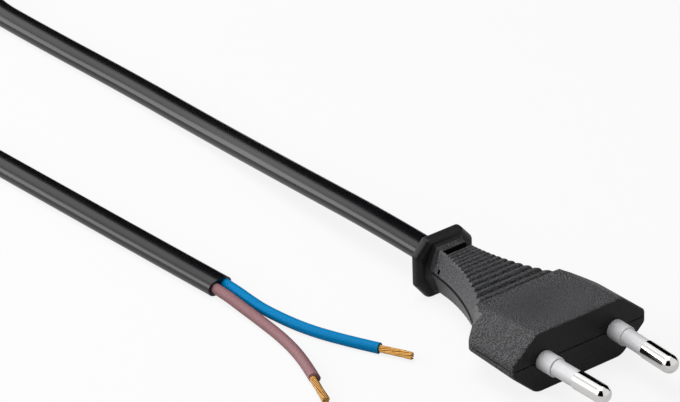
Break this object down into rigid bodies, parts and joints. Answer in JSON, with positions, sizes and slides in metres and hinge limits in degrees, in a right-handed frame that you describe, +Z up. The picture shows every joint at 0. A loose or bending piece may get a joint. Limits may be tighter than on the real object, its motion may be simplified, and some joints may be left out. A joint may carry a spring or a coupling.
{
  "type": "europlug",
  "caption": "Flat moulded mains plug with insulated pins, a ribbed flared neck and a flat lead whose far end is stripped to bare copper.",
  "frame": {"origin": "under the middle of the plug's own box, on the surface that it lies on", "axes": "+Z up, -Y along the pins, +Y along the lead, X across the pins"},
  "size_m": [0.0826, 0.3656, 0.0139],
  "materials": {
    "body_pvc": "black moulded PVC with a fine spark-eroded grain",
    "bridge_plastic": "pale grey moulded insulating plastic",
    "pin_nickel": "polished nickel plate on brass",
    "sleeve_plastic": "pale grey insulating sleeve",
    "cord_pvc": "black extruded PVC with a satin gloss",
    "core_blue": "blue extruded PVC insulation",
    "core_brown": "brown extruded PVC insulation",
    "copper": "bare bunched copper strands",
    "tie_plastic": "black plastic tie"
  },
  "bodies": {
    "root": {"plug_body": "body_pvc", "pin_bridge": "bridge_plastic", "contact_pin_left": "pin_nickel", "contact_pin_right": "pin_nickel", "pin_sleeve_left": "sleeve_plastic", "pin_sleeve_right": "sleeve_plastic", "inner_core_blue": "core_blue", "inner_core_brown": "core_brown", "crimp_strands_blue": "copper", "crimp_strands_brown": "copper", "cord_plug_run": "cord_pvc", "cord_coil": "cord_pvc", "cord_end_run": "cord_pvc", "cord_tie": "tie_plastic", "blue_core_end": "core_blue", "brown_core_end": "core_brown", "blue_strands_end": "copper", "brown_strands_end": "copper"}
  },
  "joints": []
}
